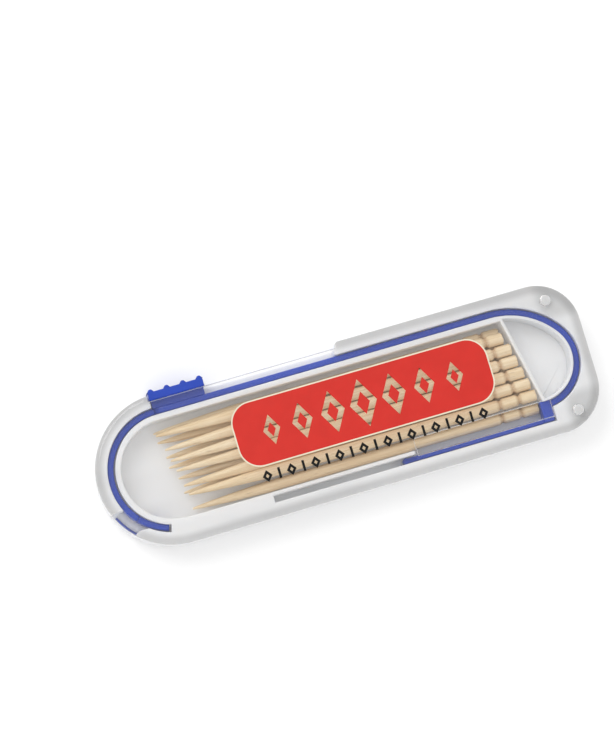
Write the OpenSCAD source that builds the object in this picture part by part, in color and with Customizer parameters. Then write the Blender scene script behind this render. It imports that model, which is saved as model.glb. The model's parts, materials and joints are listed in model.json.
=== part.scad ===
// Flat pocket toothpick dispenser. A white tray and a clear cover hold two layers of
// turned toothpicks. A thumb button in the side recess drives one flexible blue strip
// round a track: its leading end pushes the lowest toothpick out through the outlet at
// the round end, while its tail draws back from the outlet, which it otherwise shuts.
// The case lies on its back: +X runs along it to the square end, +Y to the thumb
// recess, and +Z through the clear cover. The origin is the centre of the flat back.

/* [Case] */
// Overall length of the case
case_l = 91.7; // [88:0.1:104]
// Overall width of the case
case_w = 27.1; // [26.6:0.1:32]
// Thickness of the tray's floor
floor_t = 1.6; // [1:0.1:3]
// Thickness of the clear cover
cover_t = 1.8; // [1.5:0.1:3]
// Thickness of the outer wall beside the strip's track
wall_t = 2.2; // [2:0.05:2.6]
// Thickness of the outer wall beside the strip's track at the square end
end_wall_t = 1.65; // [1.5:0.05:2.6]
// Thickness of the rail between the track and the chamber
rail_t = 1.0; // [0.6:0.05:1.3]
// Thickness of the rail between the track and the end pocket
pocket_rail_t = 0.5; // [0.4:0.05:1.3]
// Radius of the two corners at the square end
corner_r = 8; // [5:0.1:10]
// Rounding of the outer edges of tray and cover
edge_r = 0.9; // [0.3:0.1:1.2]
// Free height over the upper layer of toothpicks
headroom = 0.45; // [0.3:0.05:1.5]
// Thickness of the slanted divider at the blunt ends of the toothpicks
divider_t = 0.55; // [0.5:0.05:1.2]
// Lean of the divider, from square across the case
divider_a = 11.5; // [4:0.1:13]
// Distance from the chamber's blunt end to the divider's foot
divider_back = 0.8; // [0.3:0.05:1.2]

/* [Thumb recess and button] */
// Length of the recess in the side of the case
recess_l = 34.9; // [28:0.1:42]
// Depth of the recess
recess_d = 1.1; // [0.6:0.05:1.3]
// Distance of the recess from the round end of the case
recess_from_end = 12.85; // [12:0.05:16]
// Length of the thumb button
button_l = 10.2; // [8:0.1:14]
// How far the button's face stands past the side of the case
button_proud = 0.55; // [0:0.05:0.8]
// How far the button's ends stay from the recess's ends
button_gap = 0.35; // [0.2:0.05:0.6]
// Height of the button along the side
button_h = 5.8; // [4.5:0.1:7]
// Number of grip ribs on the button
rib_n = 4; // [2:1:6]
// Radius of a grip rib
rib_r = 0.5; // [0.3:0.05:0.7]
// Length of the neck that joins the button to the strip
neck_l = 9.8; // [5:0.1:9.9]
// Height of the neck
neck_h = 3.2; // [1:0.1:4]

/* [Strip] */
// Thickness of the flexible strip
strip_t = 1.0; // [0.7:0.05:1.2]
// Height of the strip
strip_h = 3.4; // [2.6:0.1:3.8]
// Clearance at each side of the strip in its track
track_gap = 0.2; // [0.1:0.05:0.3]
// Radius of the wide bend that leads into the tight one at the square end
lead_r = 14.6; // [12:0.1:15]
// Distance of the toothpick channel's middle from the side of the case
channel_in = 5.76; // [5.6:0.02:6.2]
// Angle round the end, from the top, that the tail reaches at rest
gate_a = 162; // [158:1:167]
// Length of the tail's stiff end, which shuts the outlet
gate_tip_l = 5.8; // [3:0.1:6.4]
// Width of the outlet in the outer wall
outlet_w = 4.2; // [3:0.1:5]

/* [Pusher] */
// Length of the pusher's foot
foot_l = 1.9; // [1.4:0.1:2.4]
// Distance of the foot's pushing face from the middle of the tight bend
foot_back = 1.05; // [0.05:0.05:1.3]
// Length of the guide tongue
tongue_l = 26.4; // [20:0.1:30]
// Thickness of the guide tongue
tongue_t = 0.9; // [0.6:0.05:1]
// Height of the guide tongue
tongue_h = 2.4; // [1.8:0.1:3]
// Thickness of the outer wall beside the tongue's groove
groove_wall = 2.5; // [2.2:0.05:2.6]

/* [Toothpicks] */
// Length of a toothpick
pick_l = 65; // [62:0.1:65.5]
// Diameter of a toothpick
pick_d = 2.15; // [2:0.05:2.2]
// Spacing of the toothpicks in a layer
pick_pitch = 2.3; // [2.25:0.05:2.35]
// Length of the tapered point
taper_l = 14; // [12:0.5:24]
// Distance of the two turned grooves from the blunt end
pick_grooves = [3.3, 6.9];
// Width of a turned groove
pick_groove_w = 1.1; // [0.6:0.1:1.4]
// Depth of a turned groove
pick_groove_d = 0.32; // [0.15:0.01:0.4]
// Distance of the upper layer's blunt ends from the divider, lowest toothpick first
upper_slip = [0.1, 0.1, 0.12, 0.15, 0.12, 0.55];
// Distance of the lower layer's blunt ends from the divider, lowest toothpick first
lower_slip = [0.5, 0.3, 0.9, 0.4, 0.7, 0.5];

/* [Print on the cover] */
// Length of the red panel
panel_l = 47.3; // [40:0.1:52]
// Width of the red panel
panel_w = 11.5; // [9:0.1:13]
// Radius of the panel's corners
panel_r = 3.7; // [2:0.1:4.4]
// Width of the pale line round the panel
border_w = 0.25; // [0.2:0.05:0.6]
// Number of lozenges left clear in the panel
lozenge_n = 7; // [3:2:9]
// Number of small black marks in the row below the panel
mark_n = 19; // [7:2:21]
// Length of the mark row
row_l = 42.6; // [30:0.1:46]
// Height of a mark
mark_h = 2.2; // [1.2:0.1:2.4]

/* [Hidden] */
$fn = 64;
print_t = 0.06;             // thickness of the ink layers
lay_gap = 0.1;              // gap under and between things that lie loose
pick_gap = 0.25;            // clearance round the toothpick in its channel and outlet
cut = 1;                    // how far a cutter runs past the face it cuts
strip_lift = 0.15;          // running gap under the strip
gate_room = 2;              // angle that the track runs on past the tail's end
post_d = 1.8;               // posts that locate the cover
post_h = 0.9;
post_inset = [5.05, 3.3];   // of a post's axis from the square end and from the side
fit_gap = 0.05;             // radial clearance of a post in the cover
step_r = 0.8;               // rounding of the recess's outer corners
panel_mid = [3.85, 1.6];    // centre of the printed panel
lozenge_core = 0.48;        // share of a lozenge that is inked again in its middle
row_drop = 2.05;            // from the panel's lower edge to the middle of the mark row
mark_core = 0.36;           // share of a mark's lozenge that is left open in its middle
mark_share = 0.2;           // share of its room that a mark's bar fills

half_w = case_w / 2;
half_l = case_l / 2;
end_x = -half_l + half_w;                          // centre of the round end
travel = recess_l - button_l - 2 * button_gap;     // stroke of the button
layer_rise = sqrt(pow(pick_d + lay_gap / 2, 2) - pow(pick_pitch / 2, 2));
parting_z = floor_t + lay_gap + pick_d + layer_rise + headroom;
case_h = parting_z + cover_t;

strip_y = half_w - wall_t - track_gap - strip_t / 2;   // middle of the top run
strip_z = floor_t + strip_lift;
track_w = strip_t + 2 * track_gap;
join_u = [0.8, 0.6];         // from the wide bend's centre to the tight bend's, a 3-4-5 slope
join_step = 0.005;           // the two centres keep round figures, so that the bends meet
bend_wish = (strip_y + half_w - channel_in - lead_r * (1 - join_u[1])) / (1 + join_u[1]);
centre_gap = join_step * round((lead_r - bend_wish) / join_step);
bend_r = lead_r - centre_gap;                          // tight bend, to the strip's middle
lead_c = [half_l - end_wall_t - track_gap - strip_t / 2 - bend_r - centre_gap * join_u[0],
          strip_y - lead_r];
bend_c = lead_c + centre_gap * join_u;
channel_y = bend_c[1] - bend_r;                        // middle of the bottom channel
chamber_r = strip_y - track_w / 2 - rail_t;            // chamber's half width and end radius
channel_top = channel_y + pick_d / 2 + pick_gap;
channel_low = channel_y - pick_d / 2 - pick_gap;
rail_low = channel_y + track_w / 2;                    // underside of the rail at the bend

foot_x = bend_c[0] - foot_back;                        // face that pushes the toothpick
foot_end = foot_x + foot_l;
tongue_y = -half_w + groove_wall + track_gap + tongue_t / 2;
tongue_end = foot_x - tongue_l;
foot_low = tongue_y - tongue_t / 2;
foot_top = channel_y + strip_t / 2 + track_gap;
roof_z = strip_z + strip_h + strip_lift;               // underside of the cover's rib

gate_rear = gate_a - gate_tip_l / strip_y * 180 / PI;

recess_x = -half_l + recess_from_end;
recess_y = half_w - recess_d;
button_x = recess_x + button_gap;
button_z = (case_h - button_h) / 2;
neck_x = button_x + (button_l - neck_l) / 2;
neck_top = strip_z + neck_h;

pick_z = [floor_t + lay_gap + pick_d / 2, floor_t + lay_gap + pick_d / 2 + layer_rise];
pick_room = chamber_r - lay_gap - pick_d / 2 - channel_y;
pick_n = floor(pick_room / pick_pitch - 0.5);          // toothpicks in each stored layer
function two_digits(i) = str(i < 10 ? "0" : "", i);
function pick_name(i) = str("toothpick_", two_digits(i));
// Left face of the divider at a height y across the case
function divider_x(y) = foot_end - divider_back - divider_t - (y - rail_low) * tan(divider_a);
function layer_of(i) = i <= pick_n ? 1 : 0;
function place_of(i) = i <= pick_n ? i : i - pick_n;
function pick_y(i) = channel_y + pick_pitch * (place_of(i) + (layer_of(i) == 1 ? 0 : 0.5));
function slip_from(list, i) = list[(place_of(i) - 1) % len(list)];
function pick_slip(i) = slip_from(layer_of(i) == 1 ? upper_slip : lower_slip, i);

// A ring sector about c, w wide about radius r, from angle a0 to a1
module ring_arc(c, r, w, a0, a1, z, h) {
  translate([c[0], c[1], z]) rotate([0, 0, a0])
    rotate_extrude(angle = a1 - a0) translate([r - w / 2, 0]) square([w, h]);
}

// A pie slice about c
module pie(c, r, a0, a1, z, h) {
  translate([c[0], c[1], z]) rotate([0, 0, a0]) rotate_extrude(angle = a1 - a0) square([r, h]);
}

// A box from corner p to corner q
module box(p, q) {
  translate(p) cube([q[0] - p[0], q[1] - p[1], q[2] - p[2]]);
}

// Half section of a slab: reach out from the axis, low and high edges rounded
module edge_profile(reach, z0, z1, low_r, high_r) {
  translate([0, z0]) square([reach - max(low_r, high_r), z1 - z0]);
  translate([0, z0 + low_r]) square([reach, z1 - z0 - low_r - high_r]);
  if (low_r > 0) translate([reach - low_r, z0 + low_r]) circle(low_r);
  if (high_r > 0) translate([reach - high_r, z1 - high_r]) circle(high_r);
}

// The case's outline as a slab: one round end, and a square end with round corners
module case_slab(z0, z1, low_r, high_r) {
  corner_x = half_l - corner_r;
  corner_y = half_w - corner_r;
  translate([end_x, 0, 0]) rotate([0, 0, 90])
    rotate_extrude(angle = 180) edge_profile(half_w, z0, z1, low_r, high_r);
  for (s = [0, 1])
    translate([corner_x, corner_y * (1 - 2 * s), 0]) rotate([0, 0, -90 * s])
      rotate_extrude(angle = 90) edge_profile(corner_r, z0, z1, low_r, high_r);
  for (s = [0, 1]) mirror([0, s, 0])
    translate([end_x, 0, 0]) rotate([90, 0, 90])
      linear_extrude(corner_x - end_x) edge_profile(half_w, z0, z1, low_r, high_r);
  translate([corner_x, corner_y, 0]) rotate([90, 0, 0])
    linear_extrude(2 * corner_y) edge_profile(corner_r, z0, z1, low_r, high_r);
}

// What the thumb recess takes out of tray and cover, with its outer corners rounded off
module recess_cut() {
  box([recess_x, recess_y, -cut], [recess_x + recess_l, half_w + cut, case_h + cut]);
  translate([recess_x + recess_l, half_w - step_r, -cut]) difference() {
    translate([-cut, 0, 0]) cube([cut + step_r, step_r + cut, case_h + 2 * cut]);
    translate([step_r, 0, -cut]) cylinder(r = step_r, h = case_h + 4 * cut);
  }
}

// The case's half on one side of the line where the two bends meet
module beyond_join(side, z, h) {
  u = case_l * join_u;
  n = side * case_l * [-join_u[1], join_u[0]];
  translate([0, 0, z - cut]) linear_extrude(h + 2 * cut)
    polygon([bend_c - u, bend_c + u, bend_c + u + n, bend_c - u + n]);
}

// The strip from the start of the top run to the foot; w and h also size its track
module strip_sweep(w, z, h) {
  box([end_x, strip_y - w / 2, z], [lead_c[0], strip_y + w / 2, z + h]);
  intersection() {
    ring_arc(lead_c, lead_r, w, 0, 90, z, h);
    beyond_join(1, z, h);
  }
  intersection() {
    ring_arc(bend_c, bend_r, w, -90, 90, z, h);
    beyond_join(-1, z, h);
  }
}

// Clear space inside the bend, right of the divider
module end_pocket(z, h) {
  inset = track_w / 2 + pocket_rail_t;
  low = channel_y + inset;
  difference() {
    union() {
      intersection() {
        pie(lead_c, lead_r - inset, 0, 90, z, h);
        beyond_join(1, z, h);
      }
      intersection() {
        pie(bend_c, bend_r - inset, -90, 90, z, h);
        beyond_join(-1, z, h);
      }
      translate([0, 0, z]) linear_extrude(h)
        polygon([lead_c, bend_c, [bend_c[0], low], [lead_c[0], low]]);
    }
    translate([0, 0, z - cut]) linear_extrude(h + 2 * cut)
      polygon([[end_x, half_w], [divider_x(half_w) + divider_t, half_w],
               [divider_x(-half_w) + divider_t, -half_w], [end_x, -half_w]]);
  }
}

// Clear space for the stored toothpicks, with its round end
module chamber(z, h) {
  pie([end_x, 0], chamber_r, 90, 270, z, h);
  translate([0, 0, z]) linear_extrude(h)
    polygon([[end_x, chamber_r], [divider_x(chamber_r), chamber_r],
             [divider_x(rail_low), rail_low], [end_x, rail_low]]);
}

module base_tray() color("whitesmoke") {
  open_h = parting_z - floor_t + cut;
  outlet_h = lay_gap + pick_d + pick_gap;
  difference() {
    case_slab(0, parting_z, edge_r, 0);
    strip_sweep(track_w, floor_t, open_h);
    ring_arc([end_x, 0], strip_y, track_w, 90, 90 + gate_a + gate_room, floor_t, open_h);
    chamber(floor_t, open_h);
    end_pocket(floor_t, open_h);
    // bottom channel, over the run of the foot and on to the outlet
    translate([0, 0, floor_t]) linear_extrude(open_h)
      polygon([[end_x, channel_low], [foot_end + track_gap, channel_low],
               [foot_end + track_gap, rail_low], [foot_x, rail_low],
               [foot_x, channel_top], [end_x, channel_top]]);
    box([foot_x - travel - track_gap, foot_low - track_gap, floor_t],
        [foot_end + track_gap, foot_top, floor_t + open_h]);
    box([-half_l, channel_low, floor_t], [end_x, channel_top, floor_t + outlet_h]);
    // outlet through the outer wall, open at the parting face
    difference() {
      box([-half_l - cut, channel_low, floor_t],
          [end_x, channel_low + outlet_w, floor_t + open_h]);
      translate([end_x, 0, 0]) cylinder(r = strip_y, h = case_h + cut);
    }
    // groove of the guide tongue
    box([tongue_end - travel - 2 * track_gap, foot_low - track_gap, floor_t],
        [foot_end + track_gap, tongue_y + tongue_t / 2 + track_gap, floor_t + open_h]);
    recess_cut();
    // slot for the button's neck, open at the parting face
    box([neck_x - track_gap, strip_y, floor_t],
        [neck_x + neck_l + travel + track_gap, half_w, floor_t + open_h]);
  }
  for (s = [-1, 1])
    translate([half_l - post_inset[0], s * (half_w - post_inset[1]), parting_z])
      cylinder(d = post_d, h = post_h);
}

module clear_cover() color("lightcyan", 0.35) {
  difference() {
    case_slab(parting_z, case_h, 0, edge_r);
    recess_cut();
    for (s = [-1, 1])
      translate([half_l - post_inset[0], s * (half_w - post_inset[1]), parting_z - cut])
        cylinder(d = post_d + 2 * fit_gap, h = cut + post_h + fit_gap);
  }
  // rib over the run of the foot, which keeps the strip down in its channel
  box([foot_x - travel + track_gap, foot_low - track_gap + tongue_t, roof_z],
      [foot_end, foot_top + lay_gap, parting_z]);
}

// A flat rectangle with round corners, grown by g on every side
module rounded_plate(l, w, r, g, z, h) {
  translate([0, 0, z]) linear_extrude(h) {
    square([l - 2 * r, w + 2 * g], center = true);
    square([l + 2 * g, w - 2 * r], center = true);
    for (sx = [-1, 1], sy = [-1, 1])
      translate([sx * (l / 2 - r), sy * (w / 2 - r)]) circle(r + g);
  }
}

// A lozenge outline, open in its middle over a share `core` of its size
module lozenge(a, b, core) {
  difference() {
    polygon([[-a, 0], [0, -b], [a, 0], [0, b]]);
    polygon(core * [[-a, 0], [0, -b], [a, 0], [0, b]]);
  }
}

module printed_panel() color("firebrick") {
  pitch = (panel_l - 2 * panel_r) / lozenge_n;
  middle = (lozenge_n - 1) / 2;
  translate([panel_mid[0], panel_mid[1], 0]) difference() {
    rounded_plate(panel_l, panel_w, panel_r, 0, case_h, print_t);
    translate([0, 0, case_h - cut]) linear_extrude(2 * cut)
      for (i = [0 : lozenge_n - 1]) {
        size = 1 - abs(i - middle) / (lozenge_n + 1);
        translate([(i - middle) * pitch, 0])
          lozenge(pitch * 0.44 * size, panel_w * 0.38 * size, lozenge_core);
      }
  }
}

module panel_border() color("cornsilk") {
  translate([panel_mid[0], panel_mid[1], 0]) difference() {
    rounded_plate(panel_l, panel_w, panel_r, border_w, case_h, print_t);
    rounded_plate(panel_l, panel_w, panel_r, 0, case_h - cut, 2 * cut);
  }
}

module mark_row() color("black") {
  pitch = row_l / mark_n;
  translate([panel_mid[0], panel_mid[1] - panel_w / 2 - row_drop, case_h]) linear_extrude(print_t)
    for (i = [0 : mark_n - 1])
      translate([(i - (mark_n - 1) / 2) * pitch, 0])
        if (i % 2 == 0) lozenge(pitch * 0.4, mark_h / 2, mark_core);
        else square([pitch * mark_share, mark_h * 0.9], center = true);
}

module thumb_button() color("royalblue") {
  face_y = half_w + button_proud;
  rib_pitch = (button_l - 2 * rib_r - track_gap) / (rib_n - 1);
  box([button_x, recess_y + lay_gap, button_z], [button_x + button_l, face_y, button_z + button_h]);
  for (i = [0 : rib_n - 1])
    translate([button_x + rib_r + track_gap / 2 + i * rib_pitch, face_y, button_z])
      cylinder(r = rib_r, h = button_h);
  box([neck_x, strip_y + strip_t / 2, strip_z], [neck_x + neck_l, recess_y + 2 * lay_gap, neck_top]);
}

module strip_run() color("royalblue") difference() {
  strip_sweep(strip_t, strip_z, strip_h);
  box([-half_l, foot_low, 0], [foot_end, 0, case_h]);
}

module strip_tail() color("royalblue") {
  ring_arc([end_x, 0], strip_y, strip_t, 90, 90 + gate_rear, strip_z, strip_h);
}

module gate_tip() color("royalblue") {
  ring_arc([end_x, 0], strip_y, strip_t, 90 + gate_rear, 90 + gate_a, strip_z, strip_h);
}

module pusher() color("royalblue") {
  box([foot_x, foot_low, strip_z], [foot_end, foot_top, strip_z + strip_h]);
  box([tongue_end, foot_low, strip_z], [foot_x, foot_low + tongue_t, strip_z + tongue_h]);
  translate([tongue_end + tongue_t / 2, tongue_y, strip_z])
    cylinder(d = tongue_t + track_gap, h = tongue_h);
}

// One turned toothpick, blunt end at x, pointing to the round end of the case
module toothpick(x, y, z) {
  r = pick_d / 2;
  grooves = [for (g = pick_grooves, p = [[r, g - pick_groove_w / 2], [r - pick_groove_d, g],
                                        [r, g + pick_groove_w / 2]]) p];
  color("burlywood") translate([x, y, z]) rotate([0, -90, 0]) rotate_extrude()
    polygon(concat([[0, 0], [r * 0.78, 0], [r, r * 0.35]], grooves,
                   [[r, pick_l - taper_l], [r * 0.62, pick_l - taper_l * 0.4],
                    [r * 0.1, pick_l], [0, pick_l]]));
}

module next_toothpick() {
  toothpick(foot_x - lay_gap / 2, channel_y, pick_z[0]);
}

module stored_toothpick(i) {
  y = pick_y(i);
  toothpick(divider_x(y + pick_d / 2) - pick_slip(i), y, pick_z[layer_of(i)]);
}

base_tray();
clear_cover();
printed_panel();
panel_border();
mark_row();
thumb_button();
strip_run();
strip_tail();
gate_tip();
pusher();
next_toothpick();
for (i = [1 : 2 * pick_n]) stored_toothpick(i);
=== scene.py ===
"""Looks of a pocket toothpick dispenser: white tray, printed clear cover, blue strip, picks."""
import json
import math

import bpy
import numpy as np
from bpy.props import FloatProperty, FloatVectorProperty, IntVectorProperty, PointerProperty
from mathutils import Matrix, Vector


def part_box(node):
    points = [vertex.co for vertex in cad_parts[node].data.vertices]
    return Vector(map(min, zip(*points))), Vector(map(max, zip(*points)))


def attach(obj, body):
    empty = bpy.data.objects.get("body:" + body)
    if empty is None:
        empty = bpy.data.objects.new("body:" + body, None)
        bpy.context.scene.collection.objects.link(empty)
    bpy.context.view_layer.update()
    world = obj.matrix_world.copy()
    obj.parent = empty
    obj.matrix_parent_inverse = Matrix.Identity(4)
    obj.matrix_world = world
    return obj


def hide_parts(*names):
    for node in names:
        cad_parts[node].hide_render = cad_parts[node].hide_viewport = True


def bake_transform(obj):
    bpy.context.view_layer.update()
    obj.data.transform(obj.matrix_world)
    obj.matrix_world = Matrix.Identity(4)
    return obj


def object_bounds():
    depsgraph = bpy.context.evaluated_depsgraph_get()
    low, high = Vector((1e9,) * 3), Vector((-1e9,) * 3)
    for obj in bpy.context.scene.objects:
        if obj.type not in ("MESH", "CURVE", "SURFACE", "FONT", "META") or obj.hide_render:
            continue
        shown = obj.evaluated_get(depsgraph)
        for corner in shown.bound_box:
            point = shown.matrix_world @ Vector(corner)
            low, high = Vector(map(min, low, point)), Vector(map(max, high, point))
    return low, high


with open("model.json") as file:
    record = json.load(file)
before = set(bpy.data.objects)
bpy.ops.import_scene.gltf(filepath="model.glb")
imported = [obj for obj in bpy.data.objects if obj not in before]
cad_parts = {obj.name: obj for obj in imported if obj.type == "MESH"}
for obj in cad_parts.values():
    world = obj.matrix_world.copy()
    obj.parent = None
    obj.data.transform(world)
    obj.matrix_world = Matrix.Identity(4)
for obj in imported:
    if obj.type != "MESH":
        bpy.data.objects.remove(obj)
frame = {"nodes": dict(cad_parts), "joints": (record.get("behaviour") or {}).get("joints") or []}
cad_box = [list(corner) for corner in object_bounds()]

bl_info = {
    "name": "Pocket toothpick dispenser",
    "version": (1, 0, 0),
    "blender": (4, 5, 0),
    "location": "3D View > Sidebar > Dispenser",
    "description": "Dresses the packed parts of a pocket toothpick dispenser and lights them",
    "category": "Object",
}

MM = 0.001
JOINTS = {joint["name"]: joint for joint in frame["joints"]}
STROKE = JOINTS["pusher_slide"]["range_m"][1]
ROUND_END = Vector(JOINTS["gate_turn"]["pos_m"])
PICKS = sorted(name for name in frame["nodes"] if "toothpick" in name)
POST_HEIGHT = 0.9 * MM          # how far the two posts stand out of the tray's rim
RIM_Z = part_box("base_tray")[1].z - POST_HEIGHT
CORNER = 8 * MM                 # radius of the case's two corners
BENDS_MEET = (0.8, 0.6)         # direction from both bends' centres to the point they share
PICK_HEAD = 9 * MM              # length of a toothpick's head, which holds its grooves
PICK_RIM = 0.14 * MM            # rounding of its blunt end
PICK_TIP = 0.12 * MM            # radius of its point


# ---------------------------------------------------------------- settings


class DispenserSizes(bpy.types.PropertyGroup):
    """Sizes that the visual pieces take on top of the frame's boxes."""

    tray_edge: FloatProperty(
        name="Tray edge", description="Rounding of the tray's small edges",
        default=0.12 * MM, unit="LENGTH", subtype="DISTANCE")
    cover_edge: FloatProperty(
        name="Cover edge", description="Rounding of the cover's small edges",
        default=0.1 * MM, unit="LENGTH", subtype="DISTANCE")
    cover_air: FloatProperty(
        name="Air under the cover", description="Thin layer of air between the cover and the tray",
        default=0.012 * MM, unit="LENGTH", subtype="DISTANCE")
    strip_width: FloatProperty(
        name="Strip width", description="Width of the flexible strip, across its track",
        default=1.0 * MM, unit="LENGTH", subtype="DISTANCE")
    strip_swell: FloatProperty(
        name="Strip swell", description="How much the strip fills its track beyond its width",
        default=0.12 * MM, unit="LENGTH", subtype="DISTANCE")
    strip_edge: FloatProperty(
        name="Strip edge", description="Rounding of the strip's long edges",
        default=0.3 * MM, unit="LENGTH", subtype="DISTANCE")
    wide_bend: FloatProperty(
        name="Wide bend", description="Radius of the strip's wide bend, to its middle",
        default=14.6 * MM, unit="LENGTH", subtype="DISTANCE")
    tight_bend: FloatProperty(
        name="Tight bend", description="Radius of the strip's tight bend, to its middle",
        default=7.875 * MM, unit="LENGTH", subtype="DISTANCE")
    tail_lean: FloatProperty(
        name="Tail's lean", description="How far the tail leans on the track's outer side",
        default=0.12 * MM, unit="LENGTH", subtype="DISTANCE")
    tip_bend: FloatProperty(
        name="Tip's bend", description="How far the tail's tip bends inwards from its arc",
        default=0.22 * MM, unit="LENGTH", subtype="DISTANCE")
    button_edge: FloatProperty(
        name="Button edge", description="Rounding of the thumb button's edges",
        default=0.2 * MM, unit="LENGTH", subtype="DISTANCE")
    foot_edge: FloatProperty(
        name="Foot edge", description="Rounding of the pusher's edges",
        default=0.16 * MM, unit="LENGTH", subtype="DISTANCE")
    pick_taper: FloatProperty(
        name="Pick taper", description="Length of a toothpick's point",
        default=14 * MM, unit="LENGTH", subtype="DISTANCE")
    groove_depth: FloatProperty(
        name="Groove depth", description="Depth of a toothpick's turned grooves",
        default=0.3 * MM, unit="LENGTH", subtype="DISTANCE")
    groove_width: FloatProperty(
        name="Groove width", description="Width of a toothpick's turned grooves",
        default=1.0 * MM, unit="LENGTH", subtype="DISTANCE")
    groove_places: FloatVectorProperty(
        name="Groove places", description="Distances of the grooves from the blunt end",
        size=2, default=(3.3 * MM, 6.9 * MM), unit="LENGTH")
    pick_sway: FloatProperty(
        name="Pick sway", description="How far a toothpick's middle strays from its straight axis",
        default=0.045 * MM, unit="LENGTH", subtype="DISTANCE")
    point_stray: FloatProperty(
        name="Point's stray", description="How far a stored toothpick's point bends off its axis",
        default=0.35 * MM, unit="LENGTH", subtype="DISTANCE")


class DispenserColours(bpy.types.PropertyGroup):
    """Colours of the finishes, as they are seen on a screen."""

    tray: FloatVectorProperty(
        name="Tray", description="White moulded plastic of the floor and the walls",
        subtype="COLOR_GAMMA", size=3, min=0, max=1, default=(0.93, 0.93, 0.935))
    # Painted shade: the walls' tops darken from the inner colour beside the track to this one at
    # the case's outline.
    rim_outer_shaded: FloatVectorProperty(
        name="Rim, outer", description="White plastic of the walls' tops at the case's outline",
        subtype="COLOR_GAMMA", size=3, min=0, max=1, default=(0.79, 0.79, 0.795))
    rim_inner: FloatVectorProperty(
        name="Rim, inner", description="White plastic of the walls' tops beside the track",
        subtype="COLOR_GAMMA", size=3, min=0, max=1, default=(0.92, 0.92, 0.925))
    # Painted light: the tray's floor and lower walls glow evenly, standing in for light that the
    # thin plastic lets through.
    tray_painted_glow: FloatProperty(
        name="Tray's glow", description="Light that the tray's thin floor and walls let through",
        default=0.045, min=0, max=1, subtype="FACTOR")
    cover: FloatVectorProperty(
        name="Cover", description="Tint of the clear plastic",
        subtype="COLOR_GAMMA", size=3, min=0, max=1, default=(0.99, 0.99, 0.985))
    strip: FloatVectorProperty(
        name="Strip", description="Blue flexible plastic",
        subtype="COLOR_GAMMA", size=3, min=0, max=1, default=(0.08, 0.25, 0.7))
    panel: FloatVectorProperty(
        name="Panel", description="Red ink of the panel",
        subtype="COLOR_GAMMA", size=3, min=0, max=1, default=(0.79, 0.09, 0.01))
    border: FloatVectorProperty(
        name="Border", description="Pale ink round the panel",
        subtype="COLOR_GAMMA", size=3, min=0, max=1, default=(0.87, 0.84, 0.75))
    marks: FloatVectorProperty(
        name="Marks", description="Black ink of the mark row",
        subtype="COLOR_GAMMA", size=3, min=0, max=1, default=(0.05, 0.05, 0.055))
    wood_light: FloatVectorProperty(
        name="Light wood", description="Birch between the fibres",
        subtype="COLOR_GAMMA", size=3, min=0, max=1, default=(0.97, 0.9, 0.78))
    wood_dark: FloatVectorProperty(
        name="Dark wood", description="Birch fibres and growth lines",
        subtype="COLOR_GAMMA", size=3, min=0, max=1, default=(0.9, 0.8, 0.65))


class DispenserStage(bpy.types.PropertyGroup):
    """Camera and lights. The picture's frame is 615 by 735 pixels."""

    picture: IntVectorProperty(
        name="Picture", description="Width and height of the picture in pixels",
        size=2, default=(615, 735))
    centre_pixel: FloatVectorProperty(
        name="Centre pixel", description="Where the case's centre stands in the picture",
        size=2, default=(343.5, 419.45))
    pixels_per_metre: FloatProperty(
        name="Pixels per metre", description="Scale of the case in the picture", default=5575)
    lens: FloatProperty(
        name="Lens", description="Focal length in millimetres", default=180, unit="CAMERA")
    roll: FloatProperty(
        name="Roll", description="How far the case's length rises to the right",
        default=math.radians(16.1), subtype="ANGLE")
    lean_left: FloatProperty(
        name="Lean left", description="How far the camera stands towards the round end",
        default=math.radians(6), subtype="ANGLE")
    lean_down: FloatProperty(
        name="Lean down", description="How far the camera stands towards the outlet's side",
        default=math.radians(5), subtype="ANGLE")
    key_power: FloatProperty(
        name="Key", description="Power of the main lamp in watts", default=1.45, unit="POWER")
    fill_power: FloatProperty(
        name="Fill", description="Power of the fill lamp in watts", default=0.45, unit="POWER")
    sky: FloatProperty(
        name="Sky", description="Strength of the even light from all round", default=0.84)
    floor: FloatVectorProperty(
        name="Floor", description="Pale floor",
        subtype="COLOR_GAMMA", size=3, min=0, max=1, default=(0.93, 0.93, 0.93))


# ---------------------------------------------------------------- surfaces


def to_linear(colour):
    """A screen colour as the linear RGBA that shader sockets take."""
    c = np.asarray(colour, float)
    linear = np.where(c <= 0.04045, c / 12.92, ((c + 0.055) / 1.055) ** 2.4)
    return (*linear, 1.0)


def rounded_section(width, height, radius, steps=7):
    """A rectangle with round corners about the origin: each corner is a quarter circle, in
    equal angle steps, and the straight sides join them. Counterclockwise, shape (n, 2)."""
    turn = np.linspace(0, math.pi / 2, steps)
    quarter = np.stack([np.cos(turn), np.sin(turn)], 1) * radius
    reach = np.array([width / 2 - radius, height / 2 - radius])
    corners = []
    for k in range(4):
        c, s = round(math.cos(k * math.pi / 2)), round(math.sin(k * math.pi / 2))
        rotation = np.array([[c, -s], [s, c]])
        size = reach if k % 2 == 0 else reach[::-1]
        corners.append((quarter + size) @ rotation.T)
    return np.concatenate(corners)


def carried_section(path, sideways, section, z):
    """A section carried along a level path: each point is the path's point, plus the section's
    first measure times the path's sideways direction, plus the second one upwards from z."""
    level = path[:, None, :] + section[None, :, :1] * sideways[:, None, :]
    height = np.broadcast_to(z + section[None, :, 1:], level.shape[:2] + (1,))
    return np.concatenate([level, height], 2)


def arc(centre, radius, start, end, steps):
    """Points and outward directions of a circle's arc, in equal angle steps, in degrees."""
    turn = np.radians(np.linspace(start, end, steps))
    outward = np.stack([np.cos(turn), np.sin(turn)], 1)
    return np.asarray(centre) + radius * outward, outward


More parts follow.
